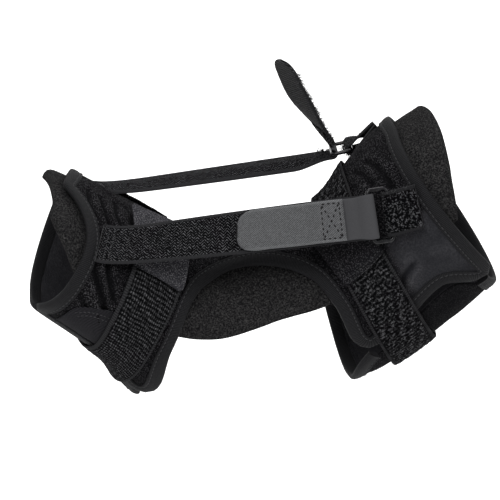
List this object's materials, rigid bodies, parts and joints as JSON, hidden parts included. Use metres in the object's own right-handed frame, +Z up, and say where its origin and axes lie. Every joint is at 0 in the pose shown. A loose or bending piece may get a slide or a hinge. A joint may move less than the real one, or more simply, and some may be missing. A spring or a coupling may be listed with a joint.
{
  "type": "plantar fasciitis night splint",
  "caption": "Soft dorsal foot and ankle brace with padded liner, bound wrap wings, elastic straps and side tension straps through wire loops, in its worn form.",
  "frame": {"origin": "Where the foot's and the leg's middle axes cross, inside the ankle hollow; the splint is held there by the foot it is worn on.", "axes": "+Z up, toes towards -X and up, shin towards +X and up, the inner (near) side of the right foot towards -Y; the middle plane is Y = 0."},
  "size_m": [0.304, 0.1298, 0.2029],
  "materials": {
    "plush_laminate": "black brushed loop fabric bonded to thin foam",
    "foam_pad": "thick foam pad with fine black nap",
    "binding_tape": "woven black edge tape with fine cross ribs and a stitch line",
    "elastic_webbing": "coarse ribbed black elastic",
    "loop_webbing": "black loop webbing with smooth selvedges",
    "hook_tape": "dark grey hook tape",
    "dark_wire": "gloss black coated wire"
  },
  "bodies": {
    "root": {"shell": "plush_laminate", "liner_pad": "foam_pad", "edge_tape_main": "binding_tape", "edge_tape_far_waist": "binding_tape", "sole_patch": "binding_tape", "foot_elastic_strap": "elastic_webbing", "calf_elastic_strap": "elastic_webbing", "foot_strap_tab": "plush_laminate", "calf_strap_tab": "plush_laminate", "near_tension_strap": "loop_webbing", "far_tension_strap": "loop_webbing", "near_buckle_anchor": "loop_webbing", "far_buckle_anchor": "loop_webbing", "near_hook_tab": "hook_tape", "far_hook_tab": "hook_tape", "near_buckle": "dark_wire", "far_buckle": "dark_wire"}
  },
  "joints": []
}
